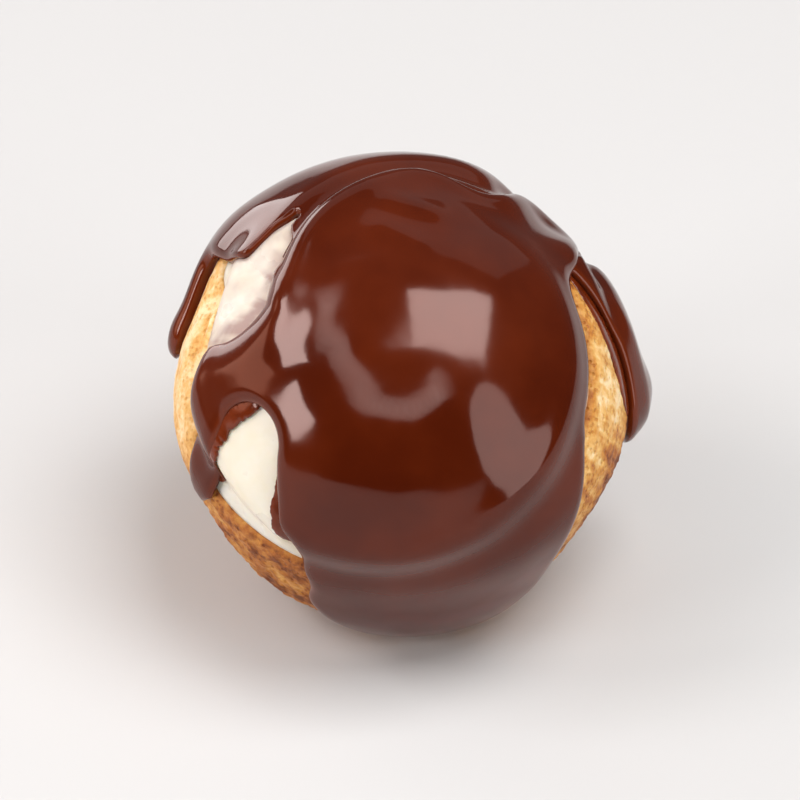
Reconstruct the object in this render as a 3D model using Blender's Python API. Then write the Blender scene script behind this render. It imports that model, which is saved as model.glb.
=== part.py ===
"""Cream puff: a round choux bun, cut on a slant, filled with cream and flooded with chocolate.

Metres, +Z up, front towards -Y. The puff stands on a small flat spot at z = 0, with its box
centred on the Z axis. Each surface is a distance from the bun's centre in each direction.
Directions are told by azimuth, from the front towards +X, and by tilt from straight up, in
degrees. Around the lid they are told by angle from its axis and by turn, from its lowest side.
"""
import math

import bmesh
import bpy
import numpy as np
from mathutils import Matrix, Vector

MM = 0.001

# ---- driving dimensions -------------------------------------------------------------------
BUN_RADIUS = 23.8 * MM
BUN_CENTRE_HEIGHT = 20.5 * MM       # less than the radius below it, which leaves the flat spot
FOOT_SNAP = 0.35 * MM               # points this close to the flat spot are moved on to it
GAP = 0.3 * MM                      # clearance between neighbouring pieces

# The cut: the lid faces up and to the front, and the edges beside the cut are angles.
LID_AZIMUTH, LID_TILT = -11.0, 39.5
LID_EDGE = 60.5
LID_FRONT_RISE = 5.5                # the lid gapes a little at the front
LID_FRONT_TURN, LID_FRONT_HALF = 15.0, 50.0
LID_NOTCH = 34.0                    # at the left front its edge is torn back, and cream shows
LID_NOTCH_TURN, LID_NOTCH_HALF = -49.0, 24.0
BASE_EDGE = 64.5
LID_UNDERSIDE = 14.6 * MM           # heights of the cut faces over the centre, at the lid's axis
BASE_TOP = 8.4 * MM
CUT_EDGE_INSET = 0.9 * MM           # how far under the crust a cut face turns into the rim
EDGE_ROUNDING = 0.15 * MM

# The crust: overhanging lid rim, waist at the cut, swollen back, flatter underside, dents.
RIM_ANGLE, RIM_WIDTH, RIM_SWELL = 51.0, 5.0, 0.5 * MM
WAIST_ANGLE, WAIST_WIDTH, WAIST_DEPTH = 59.0, 5.0, 1.5 * MM
BACK_AZIMUTH, BACK_TILT, BACK_SWELL = -160.0, 42.0, 1.7 * MM
BACK_FULL, BACK_END = 26.0, 54.0    # angles between which the swelling dies away
SQUAT = 1.5 * MM
SQUAT_START, SQUAT_FULL = 86.0, 116.0
DENT_DEPTH = 0.22 * MM
CREAM_INSET = 0.4 * MM

# The chocolate: thickness, rounded edge, and the ridge and crease where two pours meet.
COAT_THICKNESS = 1.35 * MM
COAT_EDGE_THICKNESS = 0.55 * MM
COAT_LIP_WIDTH = 2.2 * MM
CREASE_AZIMUTH, CREASE_TILT, CREASE_HALF = 28.0, 38.0, 53.0
CREASE_FADE_START, CREASE_FADE_END = 52.0, 78.0
RIDGE_HEIGHT, RIDGE_PLACE, RIDGE_WIDTH = 0.75 * MM, 0.9 * MM, 1.7 * MM
CREASE_DEPTH, CREASE_PLACE, CREASE_WIDTH = 0.8 * MM, -1.3 * MM, 1.1 * MM
BACK_COAT_EXTRA = 0.5 * MM
BEAD_HEIGHT, BEAD_WIDTH = 0.7 * MM, 8.0     # the swollen end of each drip

# How finely the pieces are divided.
TURNS = 48
CUT_PARTS = (0.35, 0.7, 1.0)
LID_PARTS = (0.2, 0.4, 0.6, 0.8, 0.93)
CREAM_PARTS = (0.06, 0.28, 0.5, 0.72, 0.94)
BASE_RINGS = 12
COAT_SUBDIVISIONS = 5


# ---- directions and soft sums ---------------------------------------------------------------
def direction(azimuth, tilt):
    """Unit vector at an azimuth from the front (-Y) towards +X and a tilt from straight up."""
    turn, lean = math.radians(azimuth), math.radians(tilt)
    return np.array([math.sin(lean) * math.sin(turn), -math.sin(lean) * math.cos(turn), math.cos(lean)])


def angle_to(rays, axis):
    """Angle in degrees from each ray to an axis."""
    return np.degrees(np.arccos(np.clip(rays @ axis, -1.0, 1.0)))


def smooth_step(value, low, high):
    part = np.clip((value - low) / (high - low), 0.0, 1.0)
    return part * part * (3.0 - 2.0 * part)


def hump(value, middle, width):
    return np.exp(-((value - middle) / width) ** 2)


def smooth_max(first, second, width):
    """The greater of two, with the corner between them rounded over a width."""
    overlap = np.clip(0.5 + 0.5 * (first - second) / width, 0.0, 1.0)
    return second + (first - second) * overlap + width * overlap * (1.0 - overlap)


UP = direction(0.0, 0.0)
LID_AXIS = direction(LID_AZIMUTH, LID_TILT)
LID_DOWN = direction(LID_AZIMUTH, LID_TILT + 90.0)      # turn 0, the lid's lowest side
LID_RIGHT = np.cross(LID_AXIS, LID_DOWN)                # turn 90, the lid's right


def lid_ray(angle, turn):
    """Unit vector at an angle from the lid's axis and a turn around it, in degrees."""
    out = math.cos(math.radians(turn)) * LID_DOWN + math.sin(math.radians(turn)) * LID_RIGHT
    return math.cos(math.radians(angle)) * LID_AXIS + math.sin(math.radians(angle)) * out


# ---- the bun ----------------------------------------------------------------------------------
def lid_edge(turn):
    """Angle of the lid's edge: raised at the front, torn back over the cream."""
    turn = (turn + 180.0) % 360.0 - 180.0
    front = LID_FRONT_RISE * math.exp(-((turn - LID_FRONT_TURN) / LID_FRONT_HALF) ** 4)
    notch = LID_NOTCH * math.exp(-((turn - LID_NOTCH_TURN) / LID_NOTCH_HALF) ** 4)
    return LID_EDGE - max(front, notch)


def base_edge(turn):
    """Angle of the lower shell's edge, the same all round."""
    return BASE_EDGE


def dents(rays):
    """Slow waves of a hand-piped bun, between -1 and 1."""
    x, y, z = rays.T
    return (np.sin(4.1 * x + 1.3) * np.sin(3.7 * y - 0.4) + np.sin(5.3 * z + 2.1 * x)
            + np.sin(6.1 * y + 2.9 * z + 0.7)) / 3.0


def bun_radius(rays):
    """Distance from the centre to the crust in each direction."""
    angle = angle_to(rays, LID_AXIS)
    back = 1.0 - smooth_step(angle_to(rays, direction(BACK_AZIMUTH, BACK_TILT)), BACK_FULL, BACK_END)
    under = smooth_step(angle_to(rays, UP), SQUAT_START, SQUAT_FULL)
    cut = RIM_SWELL * hump(angle, RIM_ANGLE, RIM_WIDTH) - WAIST_DEPTH * hump(angle, WAIST_ANGLE, WAIST_WIDTH)
    return BUN_RADIUS + DENT_DEPTH * dents(rays) + BACK_SWELL * back + cut * (1.0 - back) - SQUAT * under


# ---- the chocolate ------------------------------------------------------------------------------
# Floods are caps: a centre and a half-angle. A run goes from a start to an end, with its
# half-width at each. All are in degrees.
LID_FLOOD = (lid_ray(6.5, 98.0), 54.5)
BACK_FLOOD = (direction(180.0, 36.0), 50.5)
TONGUE = (direction(10.5, 70.0), direction(8.0, 108.0), 38.0, 33.0)
DRIPS = [
    (direction(-124.0, 58.0), direction(-105.0, 76.0), 9.0, 7.0),           # left
    (direction(112.0, 52.0), direction(99.0, 88.0), 8.0, 6.0),              # right
    (direction(-152.0, 78.0), direction(-147.0, 104.0), 11.0, 7.0),         # back, three
    (direction(178.0, 82.0), direction(176.0, 118.0), 9.0, 6.5),
    (direction(140.0, 76.0), direction(138.0, 108.0), 10.0, 7.5),
]
WINDOW = (direction(-43.0, 69.5), direction(-42.0, 106.0), 11.5, 14.5)      # bare over the cream
POUR_BLEND, RUN_BLEND, WINDOW_BLEND = 2.5, 4.0, 2.0


def cap(rays, centre, half_angle):
    """Degrees from each ray to the edge of a round flood, above 0 inside it."""
    return half_angle - angle_to(rays, centre)


def run(rays, start, end, start_width, end_width):
    """Degrees from each ray to the edge of a long run, above 0 inside it."""
    along = np.clip((rays - start) @ (end - start) / np.dot(end - start, end - start), 0.0, 1.0)
    middle = start + along[:, None] * (end - start)
    middle /= np.linalg.norm(middle, axis=1)[:, None]
    angle = np.degrees(np.arccos(np.clip(np.sum(rays * middle, axis=1), -1.0, 1.0)))
    return start_width + (end_width - start_width) * along - angle


def coat_cover(rays):
    """Degrees from each direction to the edge of the chocolate, above 0 where it covers."""
    cover = smooth_max(cap(rays, *LID_FLOOD), cap(rays, *BACK_FLOOD), POUR_BLEND)
    for stroke in (TONGUE, *DRIPS):
        cover = smooth_max(cover, run(rays, *stroke), RUN_BLEND)
    return -smooth_max(-cover, run(rays, *WINDOW), WINDOW_BLEND)


def coat_thickness(rays, cover):
    """Chocolate over the crust: a rounded lip, beaded drips, a ridge and the crease behind it."""
    arc = math.radians(1.0) * BUN_RADIUS                     # metres to a degree
    inside = np.clip(cover * arc / COAT_LIP_WIDTH, 0.0, 1.0)
    lip = np.sqrt(1.0 - (1.0 - inside) ** 2)
    past_crease = (CREASE_HALF - angle_to(rays, direction(CREASE_AZIMUTH, CREASE_TILT))) * arc
    relief = (RIDGE_HEIGHT * hump(past_crease, RIDGE_PLACE, RIDGE_WIDTH)
              - CREASE_DEPTH * hump(past_crease, CREASE_PLACE, CREASE_WIDTH)
              + BACK_COAT_EXTRA * smooth_step(-past_crease, 1.0 * MM, 4.0 * MM))
    fade = 1.0 - smooth_step(angle_to(rays, BACK_FLOOD[0]), CREASE_FADE_START, CREASE_FADE_END)
    beads = sum(hump(angle_to(rays, drip[1]), 0.0, BEAD_WIDTH) for drip in DRIPS)
    body = COAT_THICKNESS - COAT_EDGE_THICKNESS + fade * relief + BEAD_HEIGHT * beads
    return COAT_EDGE_THICKNESS + body * lip


# ---- points and rings -------------------------------------------------------------------------
def place(ray, radius):
    """Point at a distance from the bun's centre."""
    return ray * radius + BUN_CENTRE_HEIGHT * UP


def crust_point(ray, inset=0.0):
    return place(ray, bun_radius(ray[None, :])[0] - inset)


def axis_point(height):
    return place(LID_AXIS, height)


def crust_ring(angle_at, inset=0.0):
    """Ring on the crust, at an angle from the lid's axis that is a function of the turn."""
    turns = [360.0 * index / TURNS for index in range(TURNS)]
    return [crust_point(lid_ray(angle_at(turn), turn), inset) for turn in turns]


def cut_ring(edge_of, middle_height, part, lift):
    """Ring on a cut face: part runs from 0 at the axis to 1 just under the crust."""
    ring = []
    for index in range(TURNS):
        turn = 360.0 * index / TURNS
        ray = lid_ray(edge_of(turn), turn)
        rim = ray * (bun_radius(ray[None, :])[0] - CUT_EDGE_INSET)
        rim_height = rim @ LID_AXIS
        height = middle_height + (rim_height - middle_height) * part ** 2 + lift
        point = (rim - rim_height * LID_AXIS) * part + height * LID_AXIS
        ring.append(point + BUN_CENTRE_HEIGHT * UP)
    return ring


# ---- solids -------------------------------------------------------------------------------------
def finish(name, mesh):
    """Make the mesh an object, with its faces pointing out and its round parts smooth."""
    bmesh.ops.triangulate(mesh, faces=mesh.faces)
    bmesh.ops.recalc_face_normals(mesh, faces=mesh.faces)
    data = bpy.data.meshes.new(name)
    mesh.to_mesh(data)
    mesh.free()
    data.shade_smooth()
    data.set_sharp_from_angle(angle=math.radians(50.0))
    piece = bpy.data.objects.new(name, data)
    bpy.context.collection.objects.link(piece)
    return piece


def ringed_mesh(rings):
    """Closed mesh from rings of points, with a single point at each end."""
    mesh = bmesh.new()
    rows = [[mesh.verts.new(point) for point in ring] for ring in rings]
    for upper, lower in zip(rows, rows[1:]):
        for index in range(TURNS):
            following = (index + 1) % TURNS
            if len(upper) == 1:
                mesh.faces.new((upper[0], lower[index], lower[following]))
            elif len(lower) == 1:
                mesh.faces.new((upper[following], upper[index], lower[0]))
            else:
                mesh.faces.new((upper[index], lower[index], lower[following], upper[following]))
    return mesh


def make_lid():
    """The upper shell, from its crown down the crust, round the edge and under."""
    rings = [[crust_point(LID_AXIS)]]
    rings += [crust_ring(lambda turn: lid_edge(turn) * part) for part in LID_PARTS]
    rings.append(crust_ring(lambda turn: lid_edge(turn) - 0.6, EDGE_ROUNDING))
    rings += [cut_ring(lid_edge, LID_UNDERSIDE, part, 0.5 * GAP) for part in reversed(CUT_PARTS)]
    rings.append([axis_point(LID_UNDERSIDE + 0.5 * GAP)])
    return finish("choux_lid", ringed_mesh(rings))


def make_cream():
    """The filling: deep at the left front, thin at the far side, right through the bun."""
    rings = [[axis_point(LID_UNDERSIDE - 0.5 * GAP)]]
    rings += [cut_ring(lid_edge, LID_UNDERSIDE, part, -0.5 * GAP) for part in CUT_PARTS]
    rings += [crust_ring(lambda turn: lid_edge(turn) + (BASE_EDGE - lid_edge(turn)) * part, CREAM_INSET)
              for part in CREAM_PARTS]
    rings += [cut_ring(base_edge, BASE_TOP, part, 0.5 * GAP) for part in reversed(CUT_PARTS)]
    rings.append([axis_point(BASE_TOP + 0.5 * GAP)])
    return finish("cream_filling", ringed_mesh(rings))


def cut_foot(mesh):
    """Cut the mesh off level at z = 0, and close it with the flat spot that the bun stands on."""
    for vert in mesh.verts:
        if abs(vert.co.z) < FOOT_SNAP:
            vert.co.z = 0.0
    whole = mesh.verts[:] + mesh.edges[:] + mesh.faces[:]
    cut = bmesh.ops.bisect_plane(mesh, geom=whole, dist=1e-7, plane_co=(0.0, 0.0, 0.0),
                                 plane_no=(0.0, 0.0, 1.0), clear_inner=True)
    rim = [item for item in cut["geom_cut"] if isinstance(item, bmesh.types.BMEdge) and item.is_boundary]
    bmesh.ops.contextual_create(mesh, geom=rim)


def make_base():
    """The lower shell, from the middle of its cut face over the edge to the far pole."""
    rings = [[axis_point(BASE_TOP - 0.5 * GAP)]]
    rings += [cut_ring(base_edge, BASE_TOP, part, -0.5 * GAP) for part in CUT_PARTS]
    rings.append(crust_ring(lambda turn: BASE_EDGE + 0.8, EDGE_ROUNDING))
    angles = np.linspace(BASE_EDGE + 2.5, 171.0, BASE_RINGS)
    rings += [crust_ring(lambda turn: angle) for angle in angles]
    rings.append([crust_point(-LID_AXIS)])
    mesh = ringed_mesh(rings)
    cut_foot(mesh)
    return finish("choux_base", mesh)


def slide_to_edge(mesh, cover, reach=0.3):
    """Vertices close to the edge of the chocolate move on to it, which avoids slivers."""
    moves = {}
    for edge in mesh.edges:
        for near, far in (edge.verts, reversed(edge.verts)):
            if cover[near] * cover[far] < 0.0:
                part = cover[near] / (cover[near] - cover[far])
                if part < moves.get(near, (reach,))[0]:
                    moves[near] = (part, near.co.lerp(far.co, part))
    for vert, (_, spot) in moves.items():
        vert.co = spot
        cover[vert] = 0.0


def covered_sphere():
    """The part of a unit sphere that the chocolate covers, cut along its edge."""
    mesh = bmesh.new()
    bmesh.ops.create_icosphere(mesh, subdivisions=COAT_SUBDIVISIONS, radius=1.0)
    cover = dict(zip(mesh.verts, coat_cover(rays_of(mesh))))
    slide_to_edge(mesh, cover)
    for edge in list(mesh.edges):
        first, second = edge.verts
        if cover[first] * cover[second] < 0.0:
            made = bmesh.utils.edge_split(edge, first, cover[first] / (cover[first] - cover[second]))[1]
            cover[made] = 0.0
    for face in list(mesh.faces):
        on_edge = [vert for vert in face.verts if cover[vert] == 0.0]
        joined = any(set(on_edge) == set(edge.verts) for edge in face.edges)
        if len(on_edge) == 2 and not joined:
            bmesh.utils.face_split(face, *on_edge)
    bare = [face for face in mesh.faces if sum(cover[vert] for vert in face.verts) <= 0.0]
    bmesh.ops.delete(mesh, geom=bare, context="FACES")
    bmesh.ops.triangulate(mesh, faces=mesh.faces)
    return mesh


def rays_of(mesh):
    rays = np.array([vert.co[:] for vert in mesh.verts])
    return rays / np.linalg.norm(rays, axis=1)[:, None]


def make_coat():
    """The chocolate: the covered sphere laid on the crust, and again at its thickness."""
    sphere = covered_sphere()
    sphere.verts.index_update()
    rays = rays_of(sphere)
    inner = bun_radius(rays) + GAP
    outer = inner + coat_thickness(rays, coat_cover(rays))
    mesh = bmesh.new()
    inside = [mesh.verts.new(place(ray, radius)) for ray, radius in zip(rays, inner)]
    outside = [mesh.verts.new(place(ray, radius)) for ray, radius in zip(rays, outer)]
    for face in sphere.faces:
        corners = [vert.index for vert in face.verts]
        mesh.faces.new([outside[corner] for corner in corners])
        mesh.faces.new([inside[corner] for corner in reversed(corners)])
    for edge in sphere.edges:
        if edge.is_boundary:
            first, second = (vert.index for vert in edge.verts)
            mesh.faces.new((inside[first], inside[second], outside[second], outside[first]))
    sphere.free()
    return finish("chocolate_coat", mesh)


def stand_on_origin(pieces):
    """Move all pieces together, until their box stands centred on the origin."""
    corners = np.array([vert.co[:] for piece in pieces for vert in piece.data.vertices])
    low, high = corners.min(axis=0), corners.max(axis=0)
    shift = Vector((-0.5 * (low[0] + high[0]), -0.5 * (low[1] + high[1]), -low[2]))
    for piece in pieces:
        piece.data.transform(Matrix.Translation(shift))
    print("the bun's centre is at", [round(value, 5) for value in shift + BUN_CENTRE_HEIGHT * Vector(UP)])


# ---- materials -----------------------------------------------------------------------------------
def set_material(piece, name, color, roughness):
    material = bpy.data.materials.new(name)
    material.use_nodes = True
    shader = material.node_tree.nodes["Principled BSDF"]
    shader.inputs["Base Color"].default_value = (*color, 1.0)
    shader.inputs["Roughness"].default_value = roughness
    shader.inputs["Metallic"].default_value = 0.0
    piece.data.materials.append(material)


def main():
    for leftover in list(bpy.data.objects):
        bpy.data.objects.remove(leftover)
    base, cream, lid, coat = make_base(), make_cream(), make_lid(), make_coat()
    set_material(base, "baked_choux", (0.58, 0.28, 0.08), 0.7)
    set_material(cream, "whipped_cream", (0.87, 0.80, 0.62), 0.5)
    set_material(lid, "golden_choux", (0.70, 0.42, 0.16), 0.65)
    set_material(coat, "chocolate_glaze", (0.10, 0.022, 0.008), 0.15)
    stand_on_origin([base, cream, lid, coat])


main()
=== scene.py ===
# %% [markdown]
# # A cream puff flooded with chocolate
# A choux bun is cut on a slant and filled with cream, and thick chocolate is poured over it.
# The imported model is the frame: it has the right sizes and places, with plain facets. Each
# finished piece made here takes the place of one of its nodes and keeps to that node's size.

# %% Load the frame
import math

import bmesh
import bpy
import numpy as np
from mathutils import Matrix, Vector, noise


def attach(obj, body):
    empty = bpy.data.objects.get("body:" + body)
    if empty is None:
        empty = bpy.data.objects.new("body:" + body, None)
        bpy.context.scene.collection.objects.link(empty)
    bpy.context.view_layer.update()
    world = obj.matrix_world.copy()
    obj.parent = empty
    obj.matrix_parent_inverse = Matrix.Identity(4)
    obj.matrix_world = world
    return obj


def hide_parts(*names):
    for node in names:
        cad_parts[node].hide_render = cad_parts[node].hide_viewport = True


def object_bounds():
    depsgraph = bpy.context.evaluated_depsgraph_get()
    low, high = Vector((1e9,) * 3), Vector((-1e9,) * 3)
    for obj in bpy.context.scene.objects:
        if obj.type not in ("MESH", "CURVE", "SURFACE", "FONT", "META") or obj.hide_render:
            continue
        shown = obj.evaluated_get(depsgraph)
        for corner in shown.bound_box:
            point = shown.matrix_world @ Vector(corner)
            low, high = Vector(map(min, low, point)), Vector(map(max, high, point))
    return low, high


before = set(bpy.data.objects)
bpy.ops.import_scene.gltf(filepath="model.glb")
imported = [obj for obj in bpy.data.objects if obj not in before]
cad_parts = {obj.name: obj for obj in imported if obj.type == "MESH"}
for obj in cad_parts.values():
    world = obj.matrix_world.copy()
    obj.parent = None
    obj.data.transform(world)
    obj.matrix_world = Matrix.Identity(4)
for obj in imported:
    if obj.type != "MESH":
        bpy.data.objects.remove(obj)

cad_box = [list(corner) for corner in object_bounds()]
print("nodes:", sorted(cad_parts))
print("box in mm:", [[round(value * 1000, 2) for value in corner] for corner in cad_box])

# %% [markdown]
# ## Measures
# A baked bun is nearly a ball, so every surface is told by how far it is from the ball's
# centre. The swollen back moves the frame's box a little, so the centre has an offset from it.

# %% The bun's centre and its size
MM = 0.001
BUN_RADIUS = 23.8 * MM
CENTRE_IN_BOX = Vector((-0.51, -0.26, 20.5)) * MM         # from the middle of the box's floor
low, high = (Vector(corner) for corner in cad_box)
BUN_CENTRE = Vector(((low.x + high.x) / 2, (low.y + high.y) / 2, low.z)) + CENTRE_IN_BOX
ARC = math.radians(1.0) * BUN_RADIUS                      # metres along the crust to a degree
print("bun centre in mm:", [round(value / MM, 2) for value in BUN_CENTRE])

# %% [markdown]
# ## Directions on the ball
# A ray is a direction from the centre. Azimuth runs from the front (-Y) towards +X, and tilt
# is counted from straight up. Whole arrays of rays are worked at once, which keeps the script
# quick.

# %% Directions from the centre
def direction(azimuth, tilt):
    turn, lean = math.radians(azimuth), math.radians(tilt)
    out = math.sin(lean)
    return np.array([out * math.sin(turn), -out * math.cos(turn), math.cos(lean)])


def angle_to(rays, axis):
    return np.degrees(np.arccos(np.clip(rays @ axis, -1.0, 1.0)))


UP = direction(0.0, 0.0)
print("the front is", direction(0.0, 90.0).round(3))

# %% [markdown]
# ## Soft steps and sums
# Food has no hard corners. A step rises softly between two values, a hump is a soft bell and a
# plateau one with a flat top. The soft maximum joins two forms with a fillet, as chocolate does.

# %% Soft steps and sums
def smooth_step(value, start, end):
    part = np.clip((value - start) / (end - start), 0.0, 1.0)
    return part * part * (3.0 - 2.0 * part)


def hump(value, middle, width):
    return np.exp(-((value - middle) / width) ** 2)


def plateau(value, middle, half):
    return np.exp(-((value - middle) / half) ** 4)


def smooth_max(first, second, width):
    overlap = np.clip(0.5 + 0.5 * (first - second) / width, 0.0, 1.0)
    return second + (first - second) * overlap + width * overlap * (1.0 - overlap)


def smooth_min(first, second, width):
    return -smooth_max(-first, -second, width)


# %% [markdown]
# ## The lid's own directions
# The lid faces up and to the front, so its rim and the cut are told by directions of their own:
# angle is counted from the lid's axis, and turn from its lowest side.

# %% Directions around the lid
LID_AZIMUTH, LID_TILT = -11.0, 39.5
LID_AXIS = direction(LID_AZIMUTH, LID_TILT)
LID_DOWN = direction(LID_AZIMUTH, LID_TILT + 90.0)
LID_RIGHT = np.cross(LID_AXIS, LID_DOWN)


def lid_rays(angles, turns):
    angles, turns = np.radians(angles)[:, None], np.radians(turns)[:, None]
    out = np.cos(turns) * LID_DOWN + np.sin(turns) * LID_RIGHT
    return np.cos(angles) * LID_AXIS + np.sin(angles) * out


def lid_turns(rays):
    return np.degrees(np.arctan2(rays @ LID_RIGHT, rays @ LID_DOWN))


def grain(rays, scale, seed, octaves=3):
    """Noise on the ball, about -1 to 1, in lumps about BUN_RADIUS / scale wide."""
    shift = Vector((seed, 1.7 * seed, -0.6 * seed))
    return np.array([noise.fractal(Vector(ray) * scale + shift, 1.0, 2.0, octaves) for ray in rays])


print("lid axis:", LID_AXIS.round(3))

# %% [markdown]
# ## The crust's form
# A hand-piped bun has shallow dents. Its lid overhangs a little, there is a waist where it is
# cut, the back is swollen and the underside flatter. Each of these is one term of a sum.

# %% How far the crust is from the centre
RIM_ANGLE, RIM_WIDTH, RIM_SWELL = 51.0, 5.0, 0.5 * MM
WAIST_ANGLE, WAIST_WIDTH, WAIST_DEPTH = 59.0, 5.0, 1.5 * MM
BACK_CENTRE, BACK_FULL, BACK_END, BACK_SWELL = direction(-160.0, 42.0), 26.0, 54.0, 1.7 * MM
SQUAT, SQUAT_START, SQUAT_FULL = 1.5 * MM, 86.0, 116.0
DENT_DEPTH = 0.22 * MM


def dents(rays):
    x, y, z = rays.T
    return (np.sin(4.1 * x + 1.3) * np.sin(3.7 * y - 0.4) + np.sin(5.3 * z + 2.1 * x)
            + np.sin(6.1 * y + 2.9 * z + 0.7)) / 3.0


def crust_radius(rays):
    angle = angle_to(rays, LID_AXIS)
    back = 1.0 - smooth_step(angle_to(rays, BACK_CENTRE), BACK_FULL, BACK_END)
    under = smooth_step(angle_to(rays, UP), SQUAT_START, SQUAT_FULL)
    cut = (RIM_SWELL * hump(angle, RIM_ANGLE, RIM_WIDTH)
           - WAIST_DEPTH * hump(angle, WAIST_ANGLE, WAIST_WIDTH))
    return (BUN_RADIUS + DENT_DEPTH * dents(rays) + BACK_SWELL * back + cut * (1.0 - back)
            - SQUAT * under)


print("crust at the lid's axis, mm:", round(float(crust_radius(LID_AXIS[None, :])[0]) / MM, 2))

# %% [markdown]
# ## Reading and moving points
# A primitive is added at its size and place, and then its points are moved by a rule, as a
# sculptor would push them. These helpers turn points into rays and back.

# %% Rays of a piece, and points from rays
def to_rays(points):
    rays = np.asarray(points).reshape(-1, 3) - np.array(BUN_CENTRE)
    return rays / np.linalg.norm(rays, axis=1)[:, None]


def to_points(rays, radius):
    """Points at a radius along each ray, kept above the surface that the puff stands on."""
    points = rays * np.reshape(radius, (-1, 1)) + np.array(BUN_CENTRE)
    points[:, 2] = np.maximum(points[:, 2], low.z)
    return points


def piece_points(piece):
    points = np.empty(len(piece.data.vertices) * 3)
    piece.data.vertices.foreach_get("co", points)
    return points.reshape(-1, 3)


def move_to(piece, points):
    piece.data.vertices.foreach_set("co", np.ascontiguousarray(points).ravel())
    piece.data.update()


def face_rays(piece):
    middles = np.empty(len(piece.data.polygons) * 3)
    piece.data.polygons.foreach_get("center", middles)
    return to_rays(middles)


# %% [markdown]
# ## Selecting and cutting
# An operator acts on what is selected, so each step starts with one active piece and nothing
# selected in it. Faces are then chosen by their place, and deleted.

# %% Edit one piece, delete faces by place
def only(piece):
    bpy.ops.object.select_all(action="DESELECT")
    bpy.context.view_layer.objects.active = piece
    piece.select_set(True)


def edit(piece, kind):
    only(piece)
    bpy.ops.object.mode_set(mode="EDIT")
    bpy.ops.mesh.select_mode(type=kind)
    bpy.ops.mesh.select_all(action="DESELECT")
    return bmesh.from_edit_mesh(piece.data)


def leave(piece):
    bmesh.update_edit_mesh(piece.data)
    bpy.ops.object.mode_set(mode="OBJECT")


def delete_faces(piece, chosen):
    shape = edit(piece, "FACE")
    for face, is_chosen in zip(shape.faces, chosen):
        face.select_set(bool(is_chosen))
    bmesh.update_edit_mesh(piece.data)
    bpy.ops.mesh.delete(type="FACE")
    leave(piece)


def finish_piece(piece, node):
    only(piece)
    bpy.ops.object.shade_smooth()
    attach(piece, "root")
    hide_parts(node)
    print(piece.name, len(piece.data.polygons), "faces")


# %% [markdown]
# ## Growing an open border
# A cut shell has an open border. The border is extruded row by row, and each new row is moved
# to its place: round the rim and in over the cut face. Then the hole that is left is filled.

# %% Extrude a border by rows
def grow_border(piece, rows, on_this_side=None, fill=True):
    """Each row is a rule that takes the border's rays and gives its next points."""
    shape = edit(piece, "EDGE")
    for edge in shape.edges:
        if edge.is_boundary:
            middle = to_rays([list(edge.verts[0].co)])
            edge.select_set(on_this_side is None or bool(on_this_side(middle)[0]))
    bmesh.update_edit_mesh(piece.data)
    for row in rows:
        bpy.ops.mesh.extrude_edges_move()
        shape = bmesh.from_edit_mesh(piece.data)
        border = [vert for vert in shape.verts if vert.select]
        for vert, point in zip(border, row(to_rays([list(vert.co) for vert in border]))):
            vert.co = point
        bmesh.update_edit_mesh(piece.data)
    if fill:
        bpy.ops.mesh.edge_face_add()
    leave(piece)


# %% [markdown]
# ## The cut
# The lid's edge is torn back at the left front and at the far left, where cream shows, and the
# lower shell stands up a little at the left. A cut face runs from just under the crust's edge
# to its middle height at the lid's axis.

# %% Edges of the two shells
LID_EDGE, LID_RISE, LID_RISE_TURN, LID_RISE_HALF = 64.1, 9.1, -8.0, 40.0
TORN = [(36.0, -60.0, 36.0), (34.0, -112.0, 38.0)]        # degrees back, turn and half width
TORN_BLEND, EDGE_BLEND = 4.0, 2.0
BASE_EDGE, BASE_RISE, BASE_RISE_TURN, BASE_RISE_HALF = 64.5, 14.3, -92.0, 20.0
LID_UNDERSIDE, BASE_TOP = 14.6 * MM, 8.4 * MM
CUT_INSET = 0.9 * MM
CUT_PARTS = (1.0, 0.85, 0.6, 0.3, 0.1)                    # rows over the cut, as shares of its width
RIM_MARGIN = 1.2                                          # degrees from the edge to the last ring
RIM_ROWS = [(0.5, 0.12 * MM), (0.0, 0.45 * MM)]           # degrees from the edge, depth under the crust


def lid_edge(turns):
    front = LID_RISE * plateau(turns, LID_RISE_TURN, LID_RISE_HALF)
    torn = smooth_max(*(back * plateau(turns, turn, half) for back, turn, half in TORN), TORN_BLEND)
    return LID_EDGE - smooth_max(front, torn, EDGE_BLEND)


def base_edge(turns):
    return BASE_EDGE - BASE_RISE * plateau(turns, BASE_RISE_TURN, BASE_RISE_HALF)


def cut_row(edge_at, middle_height, part, lift):
    """A row on the cut face, at a part of the way from the middle to the rim, raised by lift."""
    def place_row(rays):
        turns = lid_turns(rays)
        rim = lid_rays(edge_at(turns), turns)
        rim = rim * (crust_radius(rim) - CUT_INSET)[:, None]
        rim_height = (rim @ LID_AXIS)[:, None]
        height = middle_height + (rim_height - middle_height) * part ** 2 + lift
        return (rim - rim_height * LID_AXIS) * part + height * LID_AXIS + np.array(BUN_CENTRE)
    return place_row


def rim_row(edge_at, degrees_in, inset):
    """A row on the crust, degrees_in from the edge (above 0 is further down) and inset under it."""
    def place_row(rays):
        turns = lid_turns(rays)
        spot = lid_rays(edge_at(turns) + degrees_in, turns)
        return to_points(spot, crust_radius(spot) - inset)
    return place_row


# %% [markdown]
# ## Baked relief
# Choux crust is blistered, with fine cracks and pores, and flaky low down where it browned
# most. A displacement of real depth catches the light at the outline, which bump can't do.

# %% Crust relief
FLAKY_LEFT, FLAKY_RIGHT = direction(-36.0, 122.0), direction(70.0, 100.0)
BLISTERS, FLAKES, CRACKS = 0.12, 0.05, 0.04               # heights in millimetres all over
MORE_FLAKES, MORE_CRACKS = 0.15, 0.10                     # and what flaky places add to them


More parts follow.
